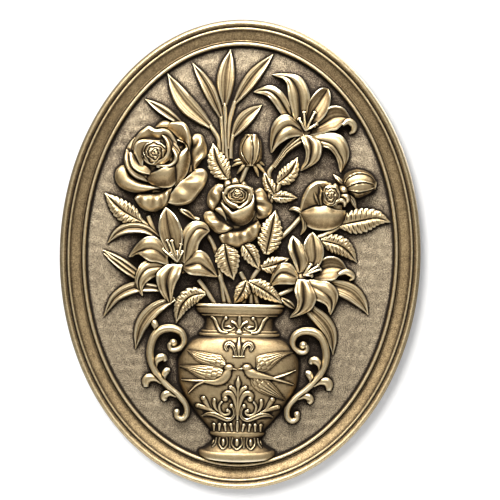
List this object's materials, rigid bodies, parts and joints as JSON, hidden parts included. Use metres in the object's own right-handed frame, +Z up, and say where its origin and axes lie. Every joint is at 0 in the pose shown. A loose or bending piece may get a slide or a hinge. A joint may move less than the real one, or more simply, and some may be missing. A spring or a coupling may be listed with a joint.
{
  "type": "relief plaque",
  "caption": "Oval cast wall plaque with a moulded frame and a bouquet of roses, lilies and leaves in a two-handled vase, in high relief.",
  "frame": {"origin": "middle of the flat back, where the plaque lies on the wall", "axes": "+Z up along the oval's long axis, +Y out of the back into the wall, so the relief faces -Y; +X to the right of someone who faces the relief"},
  "size_m": [0.3, 0.0274, 0.39],
  "materials": {
    "antique_brass": "Antiqued cast brass: dark brown patina in the recesses and on the stippled field, rubbed to pale gold on the raised parts, satin."
  },
  "bodies": {
    "root": {"plaque": "antique_brass"}
  },
  "joints": []
}
